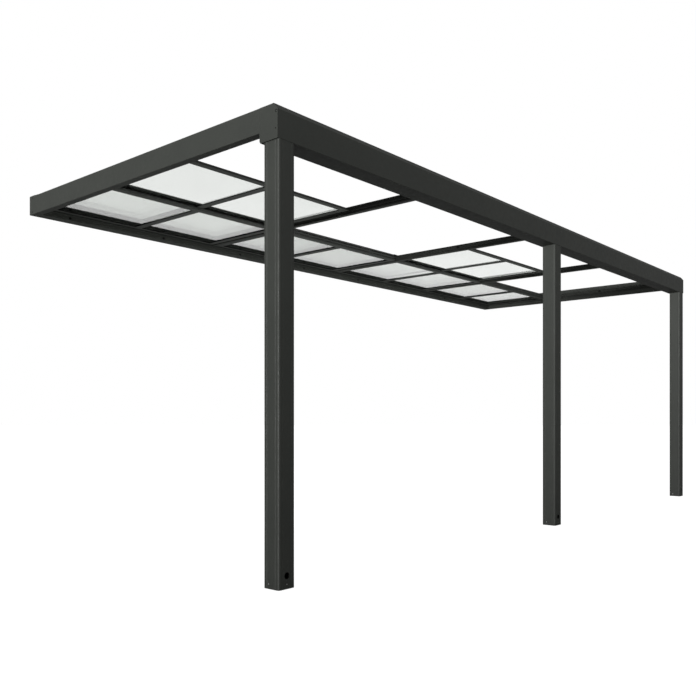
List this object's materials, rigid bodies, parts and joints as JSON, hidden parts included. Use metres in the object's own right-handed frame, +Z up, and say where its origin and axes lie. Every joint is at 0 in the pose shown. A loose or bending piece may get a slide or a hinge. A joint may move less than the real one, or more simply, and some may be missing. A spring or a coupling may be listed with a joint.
{
  "type": "patio cover with sliding glass roof",
  "caption": "Wall-mounted aluminium patio cover on posts, with a front gutter beam, slim rafters with side tracks, and framed glass roof panels that slide back under each other.",
  "frame": {"origin": "middle of the flat back face of the wall beam, which lies on the house wall", "axes": "+X to the right along the front as seen from the garden, +Y into the wall, +Z up"},
  "size_m": [6.01, 2.5, 2.3783],
  "materials": {
    "frame_paint": "anthracite powder coat, fine satin",
    "roof_glass": "clear toughened glass with a faint grey tone",
    "post_shoe": "mill finish"
  },
  "bodies": {
    "frame": {"gutter_beam": "frame_paint", "gutter_cap_left": "frame_paint", "gutter_cap_right": "frame_paint", "wall_beam": "frame_paint", "wall_beam_cap_left": "frame_paint", "wall_beam_cap_right": "frame_paint", "rafter_left_end": "frame_paint", "rafter_1": "frame_paint", "rafter_2": "frame_paint", "rafter_3": "frame_paint", "rafter_right_end": "frame_paint", "post_left": "frame_paint", "post_middle": "frame_paint", "post_right": "frame_paint", "post_shoe_left": "post_shoe", "post_shoe_middle": "post_shoe", "post_shoe_right": "post_shoe", "panel_fixed_1": "frame_paint", "glass_fixed_1": "roof_glass", "panel_fixed_2": "frame_paint", "glass_fixed_2": "roof_glass", "panel_fixed_3": "frame_paint", "glass_fixed_3": "roof_glass", "panel_fixed_4": "frame_paint", "glass_fixed_4": "roof_glass"},
    "middle_panel_1": {"panel_middle_1": "frame_paint", "glass_middle_1": "roof_glass"},
    "front_panel_1": {"panel_front_1": "frame_paint", "glass_front_1": "roof_glass"},
    "middle_panel_2": {"panel_middle_2": "frame_paint", "glass_middle_2": "roof_glass"},
    "front_panel_2": {"panel_front_2": "frame_paint", "glass_front_2": "roof_glass"},
    "middle_panel_3": {"panel_middle_3": "frame_paint", "glass_middle_3": "roof_glass"},
    "front_panel_3": {"panel_front_3": "frame_paint", "glass_front_3": "roof_glass"},
    "middle_panel_4": {"panel_middle_4": "frame_paint", "glass_middle_4": "roof_glass"},
    "front_panel_4": {"panel_front_4": "frame_paint", "glass_front_4": "roof_glass"}
  },
  "joints": [
    {"name": "slide_middle_1", "type": "slide", "parent": "frame", "child": "middle_panel_1", "axis": [0, 1, 0], "range_m": [0, 0.7499]},
    {"name": "slide_front_1", "type": "slide", "parent": "frame", "child": "front_panel_1", "axis": [0, 1, 0], "range_m": [-1.5054, 0]},
    {"name": "slide_middle_2", "type": "slide", "parent": "frame", "child": "middle_panel_2", "axis": [0, 1, 0], "range_m": [-0.7499, 0]},
    {"name": "slide_front_2", "type": "slide", "parent": "frame", "child": "front_panel_2", "axis": [0, 1, 0], "range_m": [-1.5054, 0]},
    {"name": "slide_middle_3", "type": "slide", "parent": "frame", "child": "middle_panel_3", "axis": [0, 1, 0], "range_m": [0, 0.7499]},
    {"name": "slide_front_3", "type": "slide", "parent": "frame", "child": "front_panel_3", "axis": [0, 1, 0], "range_m": [-1.5054, 0]},
    {"name": "slide_middle_4", "type": "slide", "parent": "frame", "child": "middle_panel_4", "axis": [0, 1, 0], "range_m": [-0.7499, 0]},
    {"name": "slide_front_4", "type": "slide", "parent": "frame", "child": "front_panel_4", "axis": [0, 1, 0], "range_m": [-1.5054, 0]}
  ]
}
